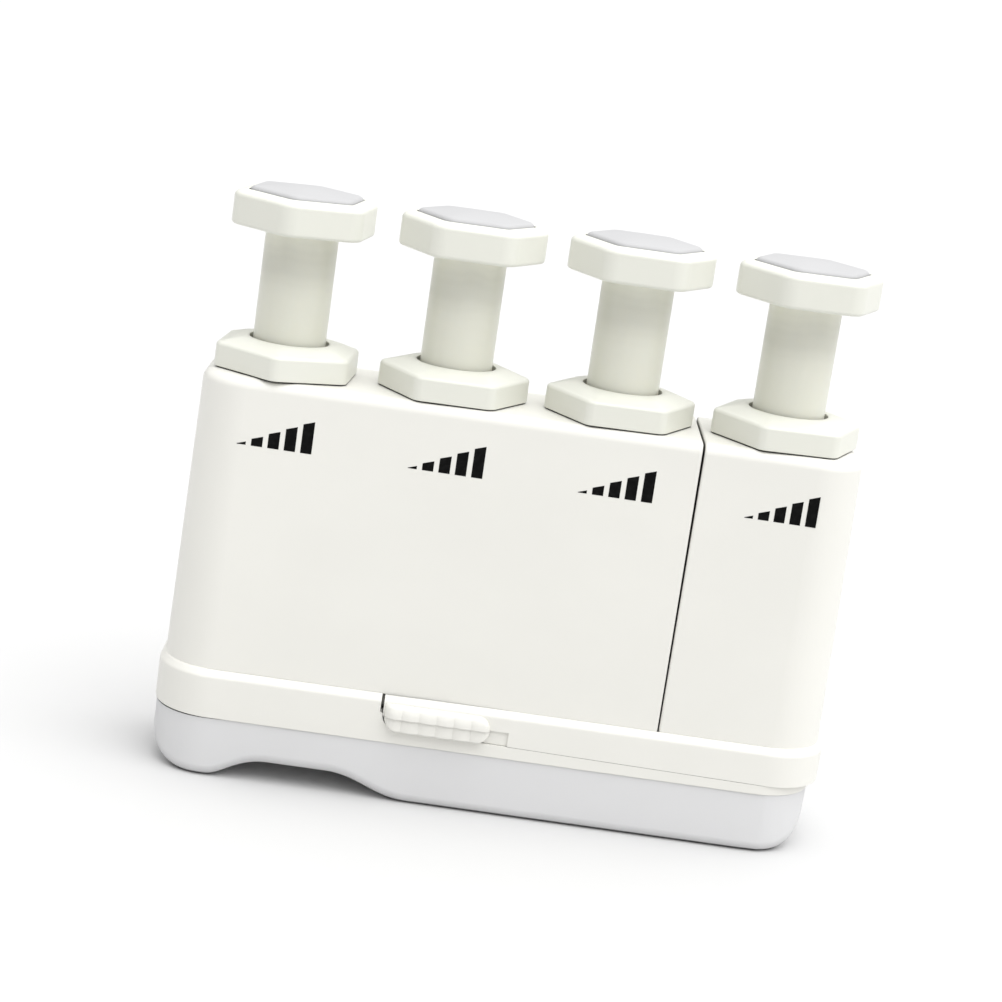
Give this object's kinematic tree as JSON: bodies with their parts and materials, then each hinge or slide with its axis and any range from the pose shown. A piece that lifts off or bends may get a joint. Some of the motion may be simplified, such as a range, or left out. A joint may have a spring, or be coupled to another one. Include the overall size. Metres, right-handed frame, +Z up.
{
  "type": "finger exerciser",
  "caption": "Hand-held finger exerciser: a row of sprung finger plungers with tension dials in a palm-rest housing whose end section slides out to fit wider hands.",
  "frame": {"origin": "on the flat resting face of the palm rest, midway along the row of fingers and on the plungers' axes", "axes": "+X along the row of fingers towards the sliding end section, -Y is the front with the slide lock, +Z up along the plungers"},
  "size_m": [0.0892, 0.0243, 0.0775],
  "materials": {
    "white_shell": "fine satin texture, moulded",
    "grey_soft": "matte soft-touch elastomer",
    "milky_stem": "semi-translucent natural nylon, satin",
    "inner_plastic": "natural acetal",
    "brake_rubber": "matte",
    "spring_steel": "drawn wire"
  },
  "bodies": {
    "base": {"base_frame": "white_shell", "palm_rest": "grey_soft", "main_housing": "white_shell", "housing_screw_1": "spring_steel", "housing_screw_2": "spring_steel", "housing_screw_3": "spring_steel", "housing_screw_4": "spring_steel", "finger_spring_1": "spring_steel", "finger_spring_2": "spring_steel", "finger_spring_3": "spring_steel"},
    "extension": {"extension_tray": "white_shell", "end_housing": "white_shell", "tray_screw_1": "spring_steel", "tray_screw_2": "spring_steel", "finger_spring_4": "spring_steel"},
    "lock": {"lock_knob": "white_shell", "lock_shoe": "brake_rubber"},
    "plunger_1": {"finger_cap_1": "white_shell", "finger_pad_1": "grey_soft", "finger_stem_1": "milky_stem"},
    "dial_1": {"tension_dial_1": "white_shell", "dial_clip_1": "spring_steel"},
    "seat_1": {"spring_seat_1": "inner_plastic"},
    "plunger_2": {"finger_cap_2": "white_shell", "finger_pad_2": "grey_soft", "finger_stem_2": "milky_stem"},
    "dial_2": {"tension_dial_2": "white_shell", "dial_clip_2": "spring_steel"},
    "seat_2": {"spring_seat_2": "inner_plastic"},
    "plunger_3": {"finger_cap_3": "white_shell", "finger_pad_3": "grey_soft", "finger_stem_3": "milky_stem"},
    "dial_3": {"tension_dial_3": "white_shell", "dial_clip_3": "spring_steel"},
    "seat_3": {"spring_seat_3": "inner_plastic"},
    "plunger_4": {"finger_cap_4": "white_shell", "finger_pad_4": "grey_soft", "finger_stem_4": "milky_stem"},
    "dial_4": {"tension_dial_4": "white_shell", "dial_clip_4": "spring_steel"},
    "seat_4": {"spring_seat_4": "inner_plastic"}
  },
  "joints": [
    {"name": "extension_slide", "type": "slide", "parent": "base", "child": "extension", "axis": [1, 0, 0], "range_m": [0, 0.012]},
    {"name": "lock_slide", "type": "slide", "parent": "extension", "child": "lock", "axis": [1, 0, 0], "range_m": [0, 0.0024]},
    {"name": "finger_press_1", "type": "slide", "parent": "base", "child": "plunger_1", "axis": [0, 0, -1], "range_m": [0, 0.014], "stiffness_N_per_m": 700, "springref_m": -0.004, "deforming": ["finger_spring_1"]},
    {"name": "dial_turn_1", "type": "hinge", "parent": "base", "child": "dial_1", "pos_m": [-0.033, 0, 0.055], "axis": [0, 0, 1], "range_deg": [0, 300]},
    {"name": "seat_lift_1", "type": "slide", "parent": "base", "child": "seat_1", "axis": [0, 0, 1], "range_m": [0, 0.00895]},
    {"name": "finger_press_2", "type": "slide", "parent": "base", "child": "plunger_2", "axis": [0, 0, -1], "range_m": [0, 0.014], "stiffness_N_per_m": 700, "springref_m": -0.004, "deforming": ["finger_spring_2"]},
    {"name": "dial_turn_2", "type": "hinge", "parent": "base", "child": "dial_2", "pos_m": [-0.011, 0, 0.055], "axis": [0, 0, 1], "range_deg": [0, 300]},
    {"name": "seat_lift_2", "type": "slide", "parent": "base", "child": "seat_2", "axis": [0, 0, 1], "range_m": [0, 0.00895]},
    {"name": "finger_press_3", "type": "slide", "parent": "base", "child": "plunger_3", "axis": [0, 0, -1], "range_m": [0, 0.014], "stiffness_N_per_m": 700, "springref_m": -0.004, "deforming": ["finger_spring_3"]},
    {"name": "dial_turn_3", "type": "hinge", "parent": "base", "child": "dial_3", "pos_m": [0.011, 0, 0.055], "axis": [0, 0, 1], "range_deg": [0, 300]},
    {"name": "seat_lift_3", "type": "slide", "parent": "base", "child": "seat_3", "axis": [0, 0, 1], "range_m": [0, 0.00895]},
    {"name": "finger_press_4", "type": "slide", "parent": "extension", "child": "plunger_4", "axis": [0, 0, -1], "range_m": [0, 0.014], "stiffness_N_per_m": 700, "springref_m": -0.004, "deforming": ["finger_spring_4"]},
    {"name": "dial_turn_4", "type": "hinge", "parent": "extension", "child": "dial_4", "pos_m": [0.033, 0, 0.055], "axis": [0, 0, 1], "range_deg": [0, 300]},
    {"name": "seat_lift_4", "type": "slide", "parent": "extension", "child": "seat_4", "axis": [0, 0, 1], "range_m": [0, 0.00895]}
  ],
  "couplings": [
    {"joint": "dial_turn_1", "follows": "seat_lift_1", "rad_per_m": 526.32},
    {"joint": "dial_turn_2", "follows": "seat_lift_2", "rad_per_m": 526.32},
    {"joint": "dial_turn_3", "follows": "seat_lift_3", "rad_per_m": 526.32},
    {"joint": "dial_turn_4", "follows": "seat_lift_4", "rad_per_m": 526.32}
  ]
}
